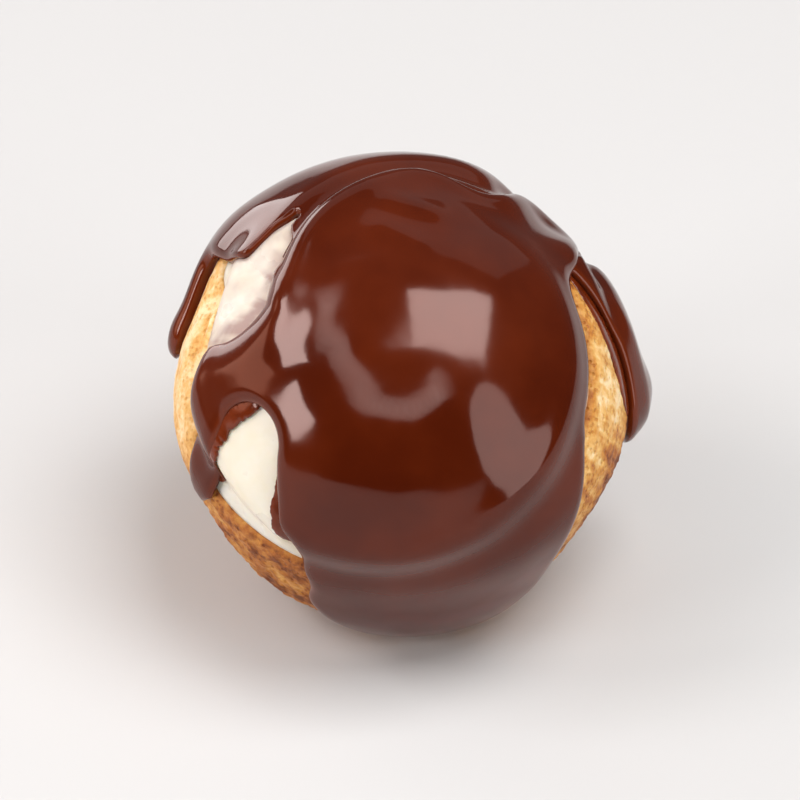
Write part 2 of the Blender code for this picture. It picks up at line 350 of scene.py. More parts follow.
def flakiness(rays):
    left = 1.0 - smooth_step(angle_to(rays, FLAKY_LEFT), 26.0, 52.0)
    right = 1.0 - smooth_step(angle_to(rays, FLAKY_RIGHT), 6.0, 20.0)
    under = smooth_step(angle_to(rays, UP), 96.0, 118.0)
    return np.clip(np.maximum(np.maximum(left, right), 0.75 * under), 0.0, 1.0)


def crust_relief(rays, seed):
    blisters = grain(rays, 7.0, seed, 2)
    flakes = grain(rays, 21.0, seed + 5.0, 3)
    cracks = (1.0 - np.clip(np.abs(grain(rays, 15.0, seed + 9.0, 2)) * 4.0, 0.0, 1.0)) ** 2
    flaky = flakiness(rays)
    return MM * (BLISTERS * blisters + (FLAKES + MORE_FLAKES * flaky) * flakes
                 - (CRACKS + MORE_CRACKS * flaky) * cracks)


# %% [markdown]
# ## The lower shell
# The lower shell is the ball with its top cut away. A UV sphere with its pole on the lid's
# axis is used, so that its rings run along the cut, and they are slid to follow the edge.

# %% Make the lower shell
FINER = 2                       # each level cuts every face of the coarse ball in four


def add_ball(name, segments, ring_count):
    bpy.ops.object.select_all(action="DESELECT")
    bpy.ops.mesh.primitive_uv_sphere_add(
        segments=segments, ring_count=ring_count, radius=BUN_RADIUS, location=BUN_CENTRE,
        rotation=(math.radians(LID_TILT), 0.0, math.radians(LID_AZIMUTH)))
    piece = bpy.context.active_object
    piece.name = piece.data.name = name
    bpy.ops.object.transform_apply(location=True, rotation=True, scale=True)
    finer = piece.modifiers.new("finer", "SUBSURF")
    finer.subdivision_type = "SIMPLE"
    finer.levels = finer.render_levels = FINER
    bpy.ops.object.modifier_apply(modifier=finer.name)
    return piece


base = add_ball("choux_shell_lower", 120, 54)
delete_faces(base, angle_to(face_rays(base), LID_AXIS) < BASE_EDGE)
rays = to_rays(piece_points(base))
angles, turns = angle_to(rays, LID_AXIS), lid_turns(rays)
edge = base_edge(turns) + RIM_MARGIN
angles = edge + (angles - angles.min()) * (180.0 - edge) / (180.0 - angles.min())
rays = lid_rays(angles, turns)
move_to(base, to_points(rays, crust_radius(rays) + crust_relief(rays, 3.0)))
grow_border(base, [rim_row(base_edge, degrees, inset) for degrees, inset in RIM_ROWS]
            + [cut_row(base_edge, BASE_TOP, part, 0.0) for part in CUT_PARTS])
finish_piece(base, "choux_base")

# %% [markdown]
# ## The lid
# The lid is the ball's top. It is mostly under the chocolate, but its rim shows at the sides.

# %% Make the lid
lid = add_ball("choux_shell_lid", 96, 48)
delete_faces(lid, angle_to(face_rays(lid), LID_AXIS) > LID_EDGE)
rays = to_rays(piece_points(lid))
angles, turns = angle_to(rays, LID_AXIS), lid_turns(rays)
rays = lid_rays(angles / angles.max() * (lid_edge(turns) - RIM_MARGIN), turns)
move_to(lid, to_points(rays, crust_radius(rays) + crust_relief(rays, 8.0)))
grow_border(lid, [rim_row(lid_edge, -degrees, inset) for degrees, inset in RIM_ROWS]
            + [cut_row(lid_edge, LID_UNDERSIDE, part, 0.0) for part in CUT_PARTS])
finish_piece(lid, "choux_lid")

# %% [markdown]
# ## The cream
# The cream is a band of the ball between the two edges, closed by the cut faces above and
# below. It is smooth, and swells a little where the lid is torn back from it.

# %% How far the cream is from the centre
CREAM_INSET = 0.4 * MM
CREAM_SWELL = 0.45 * MM
WAIST_SHARE = 0.9               # how much of the waist's depth the cream fills
THIN_LAYER, THICK_LAYER = 4.0, 18.0                       # degrees of cream that show


def cream_lift(rays):
    """How far the cream stands out over the crust's form, which is 0 where no cream shows."""
    angles, turns = angle_to(rays, LID_AXIS), lid_turns(rays)
    top, bottom = lid_edge(turns), base_edge(turns)
    down = np.clip((angles - top) / np.maximum(bottom - top, 0.5), 0.0, 1.0)
    filled = WAIST_SHARE * WAIST_DEPTH * hump(angles, WAIST_ANGLE, WAIST_WIDTH)
    filled = filled * smooth_step(1.0 - down, 0.0, 0.45) * smooth_step(angles - top, 0.0, 3.0)
    bulge = CREAM_SWELL * np.sin(np.pi * down)
    return (bulge + filled) * smooth_step(bottom - top, THIN_LAYER, THICK_LAYER)


# %% [markdown]
# ## The cream's band
# A band of the ball round the lid's axis is slid to fill the space between the two edges. Its
# upper border grows in over the lid's underside and its lower one over the base's top.

# %% Make the cream
BAND_ANGLE, BAND_HALF = 60.0, 30.0
CREAM_WAVE = 0.12 * MM
CREAM_LAP = 0.2                 # degrees past the crust's edges, and millimetres past the cuts
EDGE_SLACK = 0.3                # degrees within which a border counts as the upper or lower one
cream = add_ball("cream_layer", 96, 36)
delete_faces(cream, np.abs(angle_to(face_rays(cream), LID_AXIS) - BAND_ANGLE) > BAND_HALF)
rays = to_rays(piece_points(cream))
angles, turns = angle_to(rays, LID_AXIS), lid_turns(rays)
down = (angles - angles.min()) / (angles.max() - angles.min())
top, bottom = lid_edge(turns) - CREAM_LAP, base_edge(turns) + CREAM_LAP
rays = lid_rays(top + down * (bottom - top), turns)
wave = CREAM_WAVE * grain(rays, 4.0, 11.0, 2)
move_to(cream, to_points(rays, crust_radius(rays) - CREAM_INSET + cream_lift(rays) + wave))
grow_border(cream, [cut_row(lid_edge, LID_UNDERSIDE, part, -CREAM_LAP * MM) for part in CUT_PARTS],
            lambda rays: angle_to(rays, LID_AXIS) < lid_edge(lid_turns(rays)) + EDGE_SLACK)
grow_border(cream, [cut_row(base_edge, BASE_TOP, part, CREAM_LAP * MM) for part in CUT_PARTS],
            lambda rays: angle_to(rays, LID_AXIS) > base_edge(lid_turns(rays)) - EDGE_SLACK)
finish_piece(cream, "cream_filling")

# %% [markdown]
# ## Where the chocolate runs
# Chocolate was poured twice: over the back, and then over the lid. From there it ran down in
# a broad tongue at the front and in drips. Each flood is a cap and each run a stroke between
# two directions. Cover says how many degrees a ray is inside the nearest edge.

# %% Floods, runs and bare places
# A cap has a centre and a half angle. A stroke has a start, an end and a half width at each.
LID_FLOOD = (lid_rays(np.array([6.5]), np.array([98.0]))[0], 54.5)
BACK_FLOOD = (direction(180.0, 36.0), 50.5)
TONGUE = (direction(12.5, 70.0), direction(9.0, 108.0), 40.5, 34.5)
DRIPS = [                       # far left, right, and three at the back
    (direction(-125.0, 58.0), direction(-108.0, 78.0), 10.5, 7.0),
    (direction(109.0, 50.0), direction(97.0, 88.0), 9.0, 13.5),
    (direction(-152.0, 78.0), direction(-147.0, 104.0), 11.0, 7.0),
    (direction(178.0, 82.0), direction(176.0, 118.0), 9.0, 6.5),
    (direction(140.0, 76.0), direction(138.0, 108.0), 10.0, 7.5),
]
RIGHT_DRIP = DRIPS[1]
CREASE = (direction(28.0, 38.0), 53.0)                    # the later pour ends at this cap's border
LEFT_LOBE = (direction(39.0, 73.0), 97.0)                 # but goes on as a lobe at the left,
LEFT_LOBE_LIMIT = (direction(-52.0, 66.0), 38.0)
LOWER_FRONT = (direction(10.0, 100.0), 62.0)              # low down at the front,
LEFT_CHEEK = (direction(-58.9, 55.2), direction(-59.4, 69.7), 11.6, 9.2)
LEFT_TAIL = (direction(-60.5, 60.2), direction(-59.8, 90.5), 8.3, 5.6)
SHOULDER = (direction(75.0, 28.0), direction(117.0, 42.5), 15.0, 12.0)      # and over the right drip
WINDOW = (direction(-43.0, 69.5), direction(-41.0, 106.0), 9.3, 15.5)       # bare, over the cream
BITE = (direction(-92.9, 35.4), direction(-82.4, 45.2), 7.7, 14.5)          # bare, beside the wedge
WEDGE = (direction(-104.0, 25.6), direction(-86.0, 42.6), 0.9, 2.2)         # bare, in the back pour
WEDGE_FLOOR = (direction(-92.0, 30.0), direction(-74.0, 46.0), 3.5, 8.0)
WEDGE_BLEND = 1.5
SHARP_LIP, LIP_SHARPNESS, LIP_REACH = direction(-95.0, 34.0), 3.0, 14.0     # the lip is sharp here
POUR_BLEND, RUN_BLEND, WINDOW_BLEND, SHOULDER_BLEND = 2.5, 4.0, 2.0, 9.0


def cap(rays, centre, half_angle):
    return half_angle - angle_to(rays, centre)


def run(rays, start, end, start_width, end_width):
    along = np.clip((rays - start) @ (end - start) / np.dot(end - start, end - start), 0.0, 1.0)
    middle = start + along[:, None] * (end - start)
    middle /= np.linalg.norm(middle, axis=1)[:, None]
    angle = np.degrees(np.arccos(np.clip(np.sum(rays * middle, axis=1), -1.0, 1.0)))
    return start_width + (end_width - start_width) * along - angle


def front_cover(rays):
    """The later pour: lid and tongue, up to the crease, without the bare places."""
    flood = smooth_max(cap(rays, *LID_FLOOD), run(rays, *TONGUE), RUN_BLEND)
    flood = smooth_max(flood, run(rays, *LEFT_CHEEK), RUN_BLEND)
    lobe = smooth_min(cap(rays, *LEFT_LOBE), cap(rays, *LEFT_LOBE_LIMIT), POUR_BLEND)
    below = smooth_max(lobe, cap(rays, *LOWER_FRONT), POUR_BLEND)
    cover = smooth_min(flood, smooth_max(cap(rays, *CREASE), below, POUR_BLEND), POUR_BLEND)
    cover = smooth_max(cover, run(rays, *LEFT_TAIL), POUR_BLEND)
    cover = smooth_max(cover, run(rays, *SHOULDER), SHOULDER_BLEND)
    cover = smooth_min(cover, -run(rays, *BITE), WINDOW_BLEND)
    return smooth_min(cover, -run(rays, *WINDOW), WINDOW_BLEND)


TUCK, TUCK_BLEND = 5.0, 1.0


def back_cover(rays):
    """The earlier pour: the back and the drips, tucked a little way under the later one."""
    cover = cap(rays, *BACK_FLOOD)
    for drip in DRIPS:
        cover = smooth_max(cover, run(rays, *drip), RUN_BLEND)
    wedge = smooth_max(run(rays, *WEDGE), run(rays, *WEDGE_FLOOR), POUR_BLEND)
    sharper = 1.0 + LIP_SHARPNESS * hump(angle_to(rays, SHARP_LIP), 0.0, LIP_REACH)
    cover = smooth_min(cover, -wedge, WEDGE_BLEND) * sharper
    return smooth_min(cover, TUCK - front_cover(rays), TUCK_BLEND)


print("front cover at the lid's axis:", round(float(front_cover(LID_AXIS[None, :])[0]), 1), "degrees")

# %% [markdown]
# ## Sliding a border to a level
# Cover is like a height map. To put a border exactly on one of its levels, each point steps
# along the slope until its cover is right. A few steps are enough.

# %% Move rays to a level of cover
SMALL = 0.01                    # radians over which the slope is measured
LONGEST_STEP = 0.03             # radians
LEAST_STEEPNESS = 40.0          # keeps a step short where the cover is nearly level


def slide_to_level(rays, cover_of, level, steps=4):
    for _ in range(steps):
        helper = np.where(np.abs(rays[:, 2:3]) < 0.9, UP, direction(0.0, 90.0))
        across = np.cross(rays, helper)
        across /= np.linalg.norm(across, axis=1)[:, None]
        along = np.cross(rays, across)
        value = cover_of(rays)
        slope_across = (cover_of(rays + SMALL * across) - value) / SMALL
        slope_along = (cover_of(rays + SMALL * along) - value) / SMALL
        steepness = np.maximum(slope_across ** 2 + slope_along ** 2, LEAST_STEEPNESS)
        step = np.clip((level - value) / steepness, -LONGEST_STEP, LONGEST_STEP)[:, None]
        rays = rays + step * (slope_across[:, None] * across + slope_along[:, None] * along)
        rays = rays / np.linalg.norm(rays, axis=1)[:, None]
    return rays


# %% [markdown]
# ## A pour of chocolate
# Poured chocolate is a thick skin with a rounded, slightly undercut lip. An ico sphere has
# even triangles in all directions, so its uncovered faces are deleted and its border is slid
# to the lip's inner line. Rows are extruded from there to the edge, Solidify gives the skin
# an underside, and the points are pushed out: the top to the pour's height, the rest under it.

# %% Even out a border
NEAR_ROWS = 5                   # rows of points behind the border that move with it
RELAX_ROUNDS, KEPT = 12, 0.4    # each round keeps this share of a point's own place


def neighbour_sums(rays, pairs):
    total, count = np.zeros_like(rays), np.zeros(len(rays))
    for first, second in ((0, 1), (1, 0)):
        np.add.at(total, pairs[:, first], rays[pairs[:, second]])
        np.add.at(count, pairs[:, first], 1.0)
    return total, count[:, None]


def relax_border(piece, cover_of, level):
    """Even out the points near the border while it stays on its level of cover."""
    shape = bmesh.new()
    shape.from_mesh(piece.data)
    shape.verts.ensure_lookup_table()
    rim = np.array([vert.is_boundary for vert in shape.verts])
    near = rim.copy()
    pairs = np.array([[vert.index for vert in edge.verts] for edge in shape.edges])
    is_rim_pair = np.array([edge.is_boundary for edge in shape.edges])
    shape.free()
    for _ in range(NEAR_ROWS):
        near[np.unique(pairs[near[pairs].any(axis=1)])] = True
    use = near[pairs].any(axis=1)
    inner_pairs, rim_pairs = pairs[use], pairs[is_rim_pair]
    rays = to_rays(piece_points(piece))
    rays[rim] = slide_to_level(rays[rim], cover_of, level)
    for _ in range(RELAX_ROUNDS):
        total, count = neighbour_sums(rays, inner_pairs)
        rim_total, rim_count = neighbour_sums(rays, rim_pairs)
        inside = near & ~rim & (count[:, 0] > 0)
        rays[inside] = KEPT * rays[inside] + (1.0 - KEPT) * total[inside] / count[inside]
        rays[rim] = KEPT * rays[rim] + (1.0 - KEPT) * rim_total[rim] / rim_count[rim]
        rays /= np.linalg.norm(rays, axis=1)[:, None]
        rays[rim] = slide_to_level(rays[rim], cover_of, level, 1)
    move_to(piece, to_points(rays, BUN_RADIUS))


# %% [markdown]
# ## Cutting a pour
# The cut leaves a zigzag of triangles. Those that would turn to slivers are trimmed first, the
# border is evened out, and then the lip's rows are grown from it.

# %% Cut a pour out of a ball
LIP_ROWS = (12.0, 26.0, 40.0, 54.0, 68.0, 80.0, 90.0)     # degrees round the lip's quarter turn
POUR_SUBDIVISIONS = 7
SKIN = 1.0 * MM
TRIMMINGS = 4


def trim_ears(piece):
    """Delete faces whose corners all lie on the border, because they would turn to slivers."""
    for _ in range(TRIMMINGS):
        shape = bmesh.new()
        shape.from_mesh(piece.data)
        ears = [all(vert.is_boundary for vert in face.verts) for face in shape.faces]
        shape.free()
        if not any(ears):
            return
        delete_faces(piece, ears)


def cut_pour(name, cover_of, lip_degrees):
    bpy.ops.object.select_all(action="DESELECT")
    bpy.ops.mesh.primitive_ico_sphere_add(
        subdivisions=POUR_SUBDIVISIONS, radius=BUN_RADIUS, location=BUN_CENTRE)
    piece = bpy.context.active_object
    piece.name = piece.data.name = name
    bpy.ops.object.transform_apply(location=True, rotation=True, scale=True)
    delete_faces(piece, cover_of(face_rays(piece)) < lip_degrees)
    trim_ears(piece)
    relax_border(piece, cover_of, lip_degrees)

    def lip_row(turn):
        level = lip_degrees * (1.0 - math.sin(math.radians(turn)))
        return lambda rays: to_points(slide_to_level(rays, cover_of, level, 3), BUN_RADIUS)

    grow_border(piece, [lip_row(turn) for turn in LIP_ROWS], fill=False)
    only(piece)
    skin = piece.modifiers.new("skin", "SOLIDIFY")
    skin.thickness, skin.offset, skin.use_rim = SKIN, -1.0, True
    bpy.ops.object.modifier_apply(modifier=skin.name)
    return piece


# %% [markdown]
# ## A pour's thickness
# The cut pour is still a thin even skin on the ball. Its outside is pushed out to the pour's
# thickness, and its lip is rounded by a quarter circle. Its underside is drawn in from the edge
# and bedded a little into the crust, so that no gap shows.

# %% Push a pour's points out
NOSE = 0.42                     # how high the lip's outermost line is, as a share of the thickness
SEAT = 0.15 * MM                # how far the underside is bedded into what it lies on
DRAWN_IN, DRAWN_AT_EDGE, DRAWN_FADE = 0.45, 0.5, 0.3      # degrees that the underside is drawn in
UNDER_LIP = 0.8                 # the share of the lip's width under which it is drawn in
EDGE_LEVEL, EDGE_RISE = 0.04, 0.16                        # its own edge is a little way up the lip


def shape_pour(piece, cover_of, lip_degrees, thickness_of):
    points = piece_points(piece)
    outside = np.linalg.norm(points - np.array(BUN_CENTRE), axis=1) > BUN_RADIUS - 0.5 * SKIN
    rays = to_rays(points)
    level = np.clip(cover_of(rays) / lip_degrees, 0.0, 1.0)
    lip = np.sqrt(np.clip(1.0 - (1.0 - level) ** 2, 0.0, 1.0))
    thickness = thickness_of(rays)
    top = thickness * (NOSE + (1.0 - NOSE) * lip)
    inner = rays[~outside]
    inner_level = np.clip(cover_of(inner), 0.0, None)
    drawn_to = inner_level + DRAWN_IN + DRAWN_AT_EDGE * np.exp(-inner_level / DRAWN_FADE)
    drawn = slide_to_level(inner, cover_of, drawn_to, 2)
    near = inner_level < UNDER_LIP * lip_degrees
    inner = np.where(near[:, None], drawn, inner)
    under = np.where(inner_level < EDGE_LEVEL, EDGE_RISE * thickness[~outside], -SEAT)
    result = np.empty_like(points)
    result[outside] = to_points(rays[outside], crust_radius(rays[outside]) + top[outside])
    result[~outside] = to_points(inner, crust_radius(inner) + under)
    move_to(piece, result)


# %% [markdown]
# ## The pour over the lid
# This pour came last. Its lip lies on the earlier pour, which makes the bright ridge with the
# dark crease behind it. The bumps of the bun still show through it as soft swells.

# %% Make the front pour
LIP_DEGREES = 3.6
RIDGE_HEIGHT, RIDGE_PLACE, RIDGE_WIDTH = 0.7 * MM, 1.6 * MM, 1.9 * MM
COAT_THICKNESS = 1.35 * MM
WAIST_FILL = 1.0 * MM          # the chocolate levels out the waist between the shells
WAVES = 0.09 * MM
SWELLS = [                      # direction, width in degrees, height
    (direction(-13.6, 40.0), 6.5, 0.24 * MM),
    (direction(28.0, 62.0), 11.0, 0.20 * MM),
]
BESIDE_WEDGE, BESIDE_WIDTH = direction(-78.0, 44.0), 20.0
SLOPE_DEGREES, SLOPE_SHARE = 11.0, 0.62                   # a long slope down to the cream there
RIPPLES = [                     # soft folds near the top, from one direction to another, and height
    (direction(-140.0, 4.0), direction(95.6, 8.0), 0.26 * MM),
    (direction(-38.7, 6.9), direction(22.0, 10.5), 0.22 * MM),
]
RIPPLE_WIDTH = 3.1
THIN_TAIL, THIN_WIDTH, THIN_SHARE = direction(-62.0, 86.0), 13.0, 0.55      # only a smear there
LEVELLED, LEVEL_WIDTH, LEVEL_DEPTH = direction(112.0, 36.0), 26.0, 0.5 * MM     # no rim shows there
FADE_START, FADE_END = 52.0, 78.0                         # from the back flood's centre, in degrees


def past_crease(rays):
    """Metres inside the later pour's far border, along which its ridge runs."""
    far = smooth_max(cap(rays, *CREASE), run(rays, *SHOULDER), RUN_BLEND)
    return smooth_min(far, -run(rays, *BITE), WINDOW_BLEND) * ARC


def crease_fade(rays):
    """The ridge and the crease die away low down at the sides."""
    return 1.0 - smooth_step(angle_to(rays, BACK_FLOOD[0]), FADE_START, FADE_END)


def front_thickness(rays):
    ridge = RIDGE_HEIGHT * hump(past_crease(rays), RIDGE_PLACE, RIDGE_WIDTH) * crease_fade(rays)
    swells = sum(height * hump(angle_to(rays, middle), 0.0, width) for middle, width, height in SWELLS)
    ripples = sum(height * hump(run(rays, start, end, 0.0, 0.0), 0.0, RIPPLE_WIDTH)
                  for start, end, height in RIPPLES)
    angles = angle_to(rays, LID_AXIS)
    waist, rim = hump(angles, WAIST_ANGLE, WAIST_WIDTH), hump(angles, RIM_ANGLE, RIM_WIDTH)
    filled = WAIST_FILL * waist
    filled += LEVEL_DEPTH * (waist - rim) * hump(angle_to(rays, LEVELLED), 0.0, LEVEL_WIDTH)
    waves = WAVES * grain(rays, 3.2, 21.0, 2)
    beside_wedge = hump(angle_to(rays, BESIDE_WEDGE), 0.0, BESIDE_WIDTH)
    slope = (1.0 - smooth_step(front_cover(rays), 0.0, SLOPE_DEGREES)) * beside_wedge
    smear = hump(angle_to(rays, THIN_TAIL), 0.0, THIN_WIDTH)
    thickness = COAT_THICKNESS + ridge + swells + ripples + filled + waves
    return thickness * (1.0 - SLOPE_SHARE * slope) * (1.0 - THIN_SHARE * smear)


front_pour = cut_pour("chocolate_pour_front", front_cover, LIP_DEGREES)
shape_pour(front_pour, front_cover, LIP_DEGREES, front_thickness)
finish_piece(front_pour, "chocolate_coat")

# %% [markdown]
# ## The pour over the back
# The earlier pour is thicker and ends in drips, each with a bead where it stopped. It goes
# down under the later pour, so its thickness dies away there. Beside the ridge a narrow crease
# is left, and behind it the chocolate is heaped up again.

# %% Make the back pour
BEAD_HEIGHT, BEAD_WIDTH = 0.75 * MM, 7.0
CREASE_DEPTH, CREASE_PLACE, CREASE_WIDTH = 0.75 * MM, -0.7 * MM, 1.1 * MM
HEAP_HEIGHT, HEAP_START, HEAP_FULL = 0.5 * MM, 1.0 * MM, 4.0 * MM
BEHIND_SHOULDER, BEHIND_WIDTH = direction(125.0, 52.0), 16.0    # it isn't heaped up there
DRAPE, DRAPE_START, DRAPE_FULL = 0.7 * MM, 1.0, 6.0             # the right drip is thicker
TUCKED_SHARE, TUCKED_START, TUCKED_FULL = 0.75, 0.5, 4.0
FLAT_SHARE, FLAT_WIDTH = 0.6, 13.0                              # thin beside the sharp lip


def back_thickness(rays):
    past, fade = past_crease(rays), crease_fade(rays)
    crease = CREASE_DEPTH * hump(past, CREASE_PLACE, CREASE_WIDTH) * fade
    heap = HEAP_HEIGHT * smooth_step(-past, HEAP_START, HEAP_FULL) * fade
    heap = heap * (1.0 - hump(angle_to(rays, BEHIND_SHOULDER), 0.0, BEHIND_WIDTH))
    heap += DRAPE * smooth_step(run(rays, *RIGHT_DRIP), DRAPE_START, DRAPE_FULL)
    beads = BEAD_HEIGHT * sum(hump(angle_to(rays, drip[1]), 0.0, BEAD_WIDTH) for drip in DRIPS)
    tucked = smooth_step(front_cover(rays), TUCKED_START, TUCKED_FULL)
    waves = WAVES * grain(rays, 3.2, 31.0, 2)
    flat = 1.0 - FLAT_SHARE * hump(angle_to(rays, SHARP_LIP), 0.0, FLAT_WIDTH)
    return (COAT_THICKNESS + heap + beads + waves - crease) * (1.0 - TUCKED_SHARE * tucked) * flat


BACK_LIP_DEGREES = LIP_DEGREES * 0.85
back_pour = cut_pour("chocolate_pour_back", back_cover, BACK_LIP_DEGREES)
shape_pour(back_pour, back_cover, BACK_LIP_DEGREES, back_thickness)
finish_piece(back_pour, "chocolate_coat")

# %% [markdown]
# ## Films and tails
# Where chocolate has drained away it leaves a thin film with a ragged edge, and a narrow tail
# below it. A UV sphere has two poles, which make the two closed ends of such a streak, and its
# rings are strung along a path. The streaks are joined to one piece.

# %% Places along a path
CORNER_OFFSETS = (-0.06, -0.03, 0.0, 0.03, 0.06)          # shares of the path averaged at a corner


def along_path(path, share):
    """Direction at each share (0 to 1) of a path's length, with its corners rounded."""
    path = np.array([direction(*stop) for stop in path])
    reach = np.concatenate([[0.0], np.cumsum(np.linalg.norm(np.diff(path, axis=0), axis=1))])
    spots = 0.0
    for offset in CORNER_OFFSETS:
        places = np.clip(share + offset, 0.0, 1.0) * reach[-1]
        spots = spots + np.stack([np.interp(places, reach, path[:, axis]) for axis in range(3)], axis=1)
    return spots / np.linalg.norm(spots, axis=1)[:, None]


# %% A streak along a path
STREAK_SEGMENTS, STREAK_RINGS = 28, 110
STREAK_ROOT = 0.75 * MM         # how deep a streak's underside is bedded
STREAK_END = 0.08               # the share of its length over which each end is rounded
STREAK_STEP = 0.02              # the share over which its course is measured
RAGGED_BEATS = 40.0             # waves of the ragged border to a radius of length
LEAST_WIDTH = 0.15
ON_CREAM = 0.9                  # the share of the cream's swell that a streak follows


def add_streak(path, widths, thickness, ragged_left, ragged_right, seed):
    bpy.ops.object.select_all(action="DESELECT")
    bpy.ops.mesh.primitive_uv_sphere_add(
        segments=STREAK_SEGMENTS, ring_count=STREAK_RINGS, radius=1.0, location=(0.0, 0.0, 0.0))
    streak = bpy.context.active_object
    points = piece_points(streak)
    share = np.arccos(np.clip(points[:, 2], -1.0, 1.0)) / math.pi
    circle = np.maximum(np.hypot(points[:, 0], points[:, 1]), 1e-6)
    side, height = points[:, 0] / circle, points[:, 1] / circle
    middle = along_path(path, share)
    ahead = along_path(path, share + STREAK_STEP) - along_path(path, share - STREAK_STEP)
    across = np.cross(middle, ahead)
    across /= np.linalg.norm(across, axis=1)[:, None]
    width = np.interp(share, np.linspace(0.0, 1.0, len(widths)), widths)
    end = np.clip(np.minimum(share, 1.0 - share) / STREAK_END, 0.0, 1.0)
    end = np.sqrt(1.0 - (1.0 - end) ** 2)
    first, last = (along_path(path, np.array([spot]))[0] for spot in (0.0, 1.0))
    beat = np.linalg.norm(last - first) * RAGGED_BEATS
    rough = [grain(np.stack([share * beat, 0 * share, 0 * share], axis=1), 1.0, seed + shift, 3)
             for shift in (0.0, 7.0)]
    ragged = np.where(side > 0.0, 1.0 + ragged_right * rough[0], 1.0 + ragged_left * rough[1])
    sideways = np.tan(np.radians(side * width * end * np.maximum(ragged, LEAST_WIDTH)))[:, None]
    rays = middle + sideways * across
    rays /= np.linalg.norm(rays, axis=1)[:, None]
    lift = np.where(height > 0.0, thickness * height ** 0.7 * end, STREAK_ROOT * height * end)
    move_to(streak, to_points(rays, crust_radius(rays) + ON_CREAM * cream_lift(rays) + lift))
    return streak


# %% [markdown]
# ## The three streaks
# One is a film below the left tail, one lies beside the right drip, and one is a narrow tail
# inside the window.

# %% Make the streaks
STREAKS = [                     # path, half widths in degrees, thickness, ragged left and right, seed
    ([(-44.0, 59.0), (-49.0, 63.5), (-53.0, 68.5), (-55.5, 74.0),
      (-56.3, 80.5), (-55.0, 85.5), (-53.4, 88.5)],
     [2.2, 2.8, 3.2, 3.8, 4.0, 3.0, 1.6], 0.2 * MM, 1.6, 0.2, 3.0),
    ([(103.0, 49.0), (96.0, 52.4), (91.2, 58.7), (88.0, 65.8),
      (86.0, 71.8), (84.5, 79.0), (86.0, 88.0)],
     [3.2, 3.4, 3.6, 3.8, 3.8, 3.6, 2.4], 0.26 * MM, 0.1, 1.1, 9.0),
    ([(-31.0, 70.0), (-31.3, 77.0), (-31.0, 84.0), (-30.0, 90.0), (-26.5, 97.0)],
     [0.8, 1.6, 2.0, 1.9, 1.2], 0.26 * MM, 0.25, 0.15, 21.0),
]
parts = [add_streak(*streak) for streak in STREAKS]
only(parts[0])
for part in parts:
    part.select_set(True)
bpy.ops.object.join()
streaks = bpy.context.active_object
streaks.name = streaks.data.name = "chocolate_streaks"
bpy.ops.object.mode_set(mode="EDIT")
bpy.ops.mesh.select_all(action="SELECT")
bpy.ops.mesh.normals_make_consistent(inside=False)
bpy.ops.object.mode_set(mode="OBJECT")
finish_piece(streaks, "chocolate_coat")

# %% [markdown]
# ## Masks that follow the surface
# Browning, stains with some painted shade, and thin chocolate belong to places on the bun. Each
# is measured at every point of a mesh and stored there as an attribute, which a material can read.

# %% Store a mask on a piece
def store_mask(piece, name, values):
    mask = piece.data.attributes.new(name, "FLOAT", "POINT")
    mask.data.foreach_set("value", np.clip(values, 0.0, 1.0).astype(np.float32))
    print(piece.name, name, "from", round(float(values.min()), 2), "to", round(float(values.max()), 2))


# %% [markdown]
# ## Browning
# The crust browned most low down and on its flaky places. It stayed pale at the far left, and
# at the right just under the cut, where darker strokes run down from the rim.

# %% Browning of the shells
PALE_LEFT, PALE_LEFT_SHARE = direction(-88.0, 66.0), 0.32
PALE_RIGHT_TURN, PALE_RIGHT_HALF, PALE_RIGHT_SHARE = 92.0, 34.0, 0.25
STROKES_SHARE = 0.45
BROWNED_RIGHT, BROWNED_WIDTH, BROWNED_SHARE = direction(73.0, 100.0), 13.0, 0.24
MIDDLE_BROWN, FLAKY_SHARE, PATCHES_SHARE = 0.52, 0.24, 0.26


def browning(rays, seed):
    pale_left = 1.0 - smooth_step(angle_to(rays, PALE_LEFT), 14.0, 38.0)
    angles, turns = angle_to(rays, LID_AXIS), lid_turns(rays)
    pale_right = plateau(turns, PALE_RIGHT_TURN, PALE_RIGHT_HALF) * smooth_step(angles, 64.5, 70.0)
    pale_right = pale_right * (1.0 - smooth_step(angles, 80.0, 92.0))
    downwards = np.stack([turns * 0.35, angles * 0.045, 0.0 * turns], axis=1)
    strokes = grain(downwards, 1.0, seed + 3.0, 3)
    patches = 0.5 + 0.5 * grain(rays, 5.0, seed, 3)
    brown = MIDDLE_BROWN + FLAKY_SHARE * flakiness(rays) + PATCHES_SHARE * (patches - 0.5)
    brown += BROWNED_SHARE * hump(angle_to(rays, BROWNED_RIGHT), 0.0, BROWNED_WIDTH)
    pale_right = (PALE_RIGHT_SHARE - STROKES_SHARE * strokes) * pale_right
    return brown - PALE_LEFT_SHARE * pale_left - pale_right


for piece, seed in ((base, 41.0), (lid, 47.0)):
    store_mask(piece, "browning", browning(to_rays(piece_points(piece)), seed))

# %% [markdown]
# ## Stained and shaded cream
# In the far-left wedge the cream is smeared with chocolate that was dragged over it. The smears
# are strongest near the pours and run the way that they flowed. The whole wedge is also darkened
# evenly, which is painted shade.

# %% Stain and painted shade of the cream
WEDGE_MIDDLE, WEDGE_INNER, WEDGE_OUTER = direction(-80.0, 40.0), 16.0, 22.0
FLOW_START = direction(-95.0, 12.0)
FLOW_SCALE, SIDE_SCALE = 0.06, 0.22                       # long streaks: finer across than along
# the first share darkens the whole wedge evenly as painted shade; the others are chocolate smears
EVEN_PAINTED_SHADE, FRONT_STAIN, STREAKY_STAIN, BACK_STAIN = 0.45, 0.75, 0.6, 0.9


